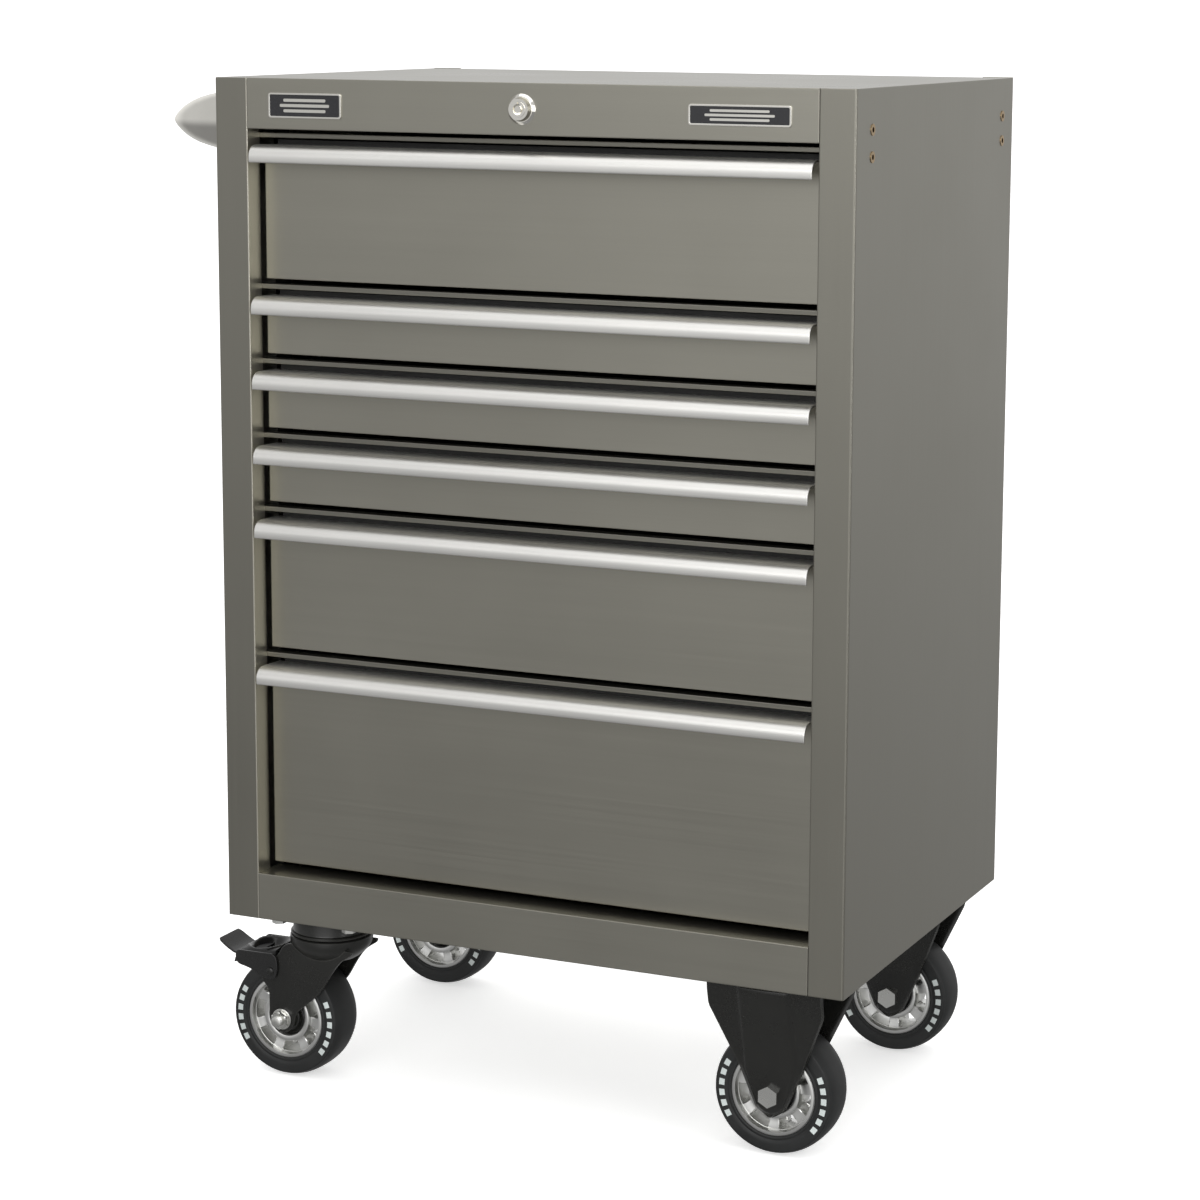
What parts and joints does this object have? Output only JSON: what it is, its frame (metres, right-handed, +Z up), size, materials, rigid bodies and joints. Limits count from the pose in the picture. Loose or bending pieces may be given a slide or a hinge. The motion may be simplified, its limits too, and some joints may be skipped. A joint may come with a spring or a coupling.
{
  "type": "rolling tool chest",
  "caption": "Stainless roll cabinet for tools with full-width drawers, a side push handle, a keyed lock, fixed casters and braked swivel casters.",
  "frame": {"origin": "middle of the bottom of the whole chest's bounding box, on the floor", "axes": "+Z up, +X to the right as seen by someone facing the drawers, +Y from the drawers' fronts to the back"},
  "size_m": [0.7496, 0.469, 1.0346],
  "materials": {
    "stainless": "satin brushed stainless sheet",
    "dark_steel": "black powder-coated sheet",
    "zinc_steel": "zinc-plated steel",
    "handle_aluminium": "satin anodised extrusion",
    "bright_chrome": "polished plating",
    "badge_black": "gloss black plate with a bright border",
    "insert_brass": "yellow-passivated threaded inserts",
    "caster_black": "semi-gloss black pressed steel",
    "rim_aluminium": "machined casting",
    "tyre_rubber": "black rubber"
  },
  "bodies": {
    "cabinet": {"left_side_panel": "stainless", "right_side_panel": "stainless", "top_panel": "stainless", "back_panel": "stainless", "base_pan": "stainless", "front_fascia": "stainless", "kick_rail": "stainless", "cross_rails": "stainless", "slide_uprights": "zinc_steel", "slide_outer_members": "zinc_steel", "push_handle_screws": "zinc_steel", "caster_bolts": "zinc_steel", "push_handle_tube": "bright_chrome", "push_handle_brackets": "bright_chrome", "lock_housing": "bright_chrome", "badge_plates": "badge_black", "side_threaded_inserts": "insert_brass", "swivel_caster_plates": "caster_black", "fixed_caster_forks": "caster_black"},
    "lock_cylinder": {"lock_plug": "bright_chrome", "lock_shaft": "zinc_steel"},
    "locking_bar": {"locking_bar": "zinc_steel"},
    "drawer_1": {"drawer_1_front": "stainless", "drawer_1_tray": "dark_steel", "drawer_1_handle": "handle_aluminium", "drawer_1_slides": "zinc_steel"},
    "drawer_2": {"drawer_2_front": "stainless", "drawer_2_tray": "dark_steel", "drawer_2_handle": "handle_aluminium", "drawer_2_slides": "zinc_steel"},
    "drawer_3": {"drawer_3_front": "stainless", "drawer_3_tray": "dark_steel", "drawer_3_handle": "handle_aluminium", "drawer_3_slides": "zinc_steel"},
    "drawer_4": {"drawer_4_front": "stainless", "drawer_4_tray": "dark_steel", "drawer_4_handle": "handle_aluminium", "drawer_4_slides": "zinc_steel"},
    "drawer_5": {"drawer_5_front": "stainless", "drawer_5_tray": "dark_steel", "drawer_5_handle": "handle_aluminium", "drawer_5_slides": "zinc_steel"},
    "drawer_6": {"drawer_6_front": "stainless", "drawer_6_tray": "dark_steel", "drawer_6_handle": "handle_aluminium", "drawer_6_slides": "zinc_steel"},
    "front_right_wheel": {"front_right_tyre": "tyre_rubber", "front_right_rim": "rim_aluminium"},
    "front_left_caster": {"front_left_fork": "caster_black", "front_left_axle_bolt": "zinc_steel"},
    "front_left_wheel": {"front_left_tyre": "tyre_rubber", "front_left_rim": "rim_aluminium"},
    "front_left_brake": {"front_left_brake_pedal": "caster_black"},
    "rear_right_wheel": {"rear_right_tyre": "tyre_rubber", "rear_right_rim": "rim_aluminium"},
    "rear_left_caster": {"rear_left_fork": "caster_black", "rear_left_axle_bolt": "zinc_steel"},
    "rear_left_wheel": {"rear_left_tyre": "tyre_rubber", "rear_left_rim": "rim_aluminium"},
    "rear_left_brake": {"rear_left_brake_pedal": "caster_black"}
  },
  "joints": [
    {"name": "drawer_1_slide", "type": "slide", "parent": "cabinet", "child": "drawer_1", "axis": [0, -1, 0], "range_m": [0, 0.3]},
    {"name": "drawer_2_slide", "type": "slide", "parent": "cabinet", "child": "drawer_2", "axis": [0, -1, 0], "range_m": [0, 0.3]},
    {"name": "drawer_3_slide", "type": "slide", "parent": "cabinet", "child": "drawer_3", "axis": [0, -1, 0], "range_m": [0, 0.3]},
    {"name": "drawer_4_slide", "type": "slide", "parent": "cabinet", "child": "drawer_4", "axis": [0, -1, 0], "range_m": [0, 0.3]},
    {"name": "drawer_5_slide", "type": "slide", "parent": "cabinet", "child": "drawer_5", "axis": [0, -1, 0], "range_m": [0, 0.3]},
    {"name": "drawer_6_slide", "type": "slide", "parent": "cabinet", "child": "drawer_6", "axis": [0, -1, 0], "range_m": [0, 0.3]},
    {"name": "lock_turn", "type": "hinge", "parent": "cabinet", "child": "lock_cylinder", "pos_m": [0.0367, -0.2265, 1.0092], "axis": [0, 1, 0], "range_deg": [0, 90]},
    {"name": "locking_bar_lift", "type": "slide", "parent": "cabinet", "child": "locking_bar", "axis": [0, 0, 1], "range_m": [0, 0.0119]},
    {"name": "front_right_wheel_spin", "type": "hinge", "parent": "cabinet", "child": "front_right_wheel", "pos_m": [0.2882, -0.165, 0.0635], "axis": [0, 1, 0], "continuous": true},
    {"name": "front_left_swivel", "type": "hinge", "parent": "cabinet", "child": "front_left_caster", "pos_m": [-0.2148, -0.165, 0.15], "axis": [0, 0, 1], "continuous": true},
    {"name": "front_left_wheel_spin", "type": "hinge", "parent": "front_left_caster", "child": "front_left_wheel", "pos_m": [-0.2588, -0.165, 0.0635], "axis": [0, 1, 0], "continuous": true},
    {"name": "front_left_brake_press", "type": "hinge", "parent": "front_left_caster", "child": "front_left_brake", "pos_m": [-0.2708, -0.165, 0.114], "axis": [0, -1, 0], "range_deg": [0, 10]},
    {"name": "rear_right_wheel_spin", "type": "hinge", "parent": "cabinet", "child": "rear_right_wheel", "pos_m": [0.2882, 0.173, 0.0635], "axis": [0, 1, 0], "continuous": true},
    {"name": "rear_left_swivel", "type": "hinge", "parent": "cabinet", "child": "rear_left_caster", "pos_m": [-0.2148, 0.173, 0.15], "axis": [0, 0, 1], "continuous": true},
    {"name": "rear_left_wheel_spin", "type": "hinge", "parent": "rear_left_caster", "child": "rear_left_wheel", "pos_m": [-0.2588, 0.173, 0.0635], "axis": [0, 1, 0], "continuous": true},
    {"name": "rear_left_brake_press", "type": "hinge", "parent": "rear_left_caster", "child": "rear_left_brake", "pos_m": [-0.2708, 0.173, 0.114], "axis": [0, -1, 0], "range_deg": [0, 10]}
  ],
  "couplings": [
    {"joint": "lock_turn", "follows": "locking_bar_lift", "rad_per_m": 131.5}
  ]
}
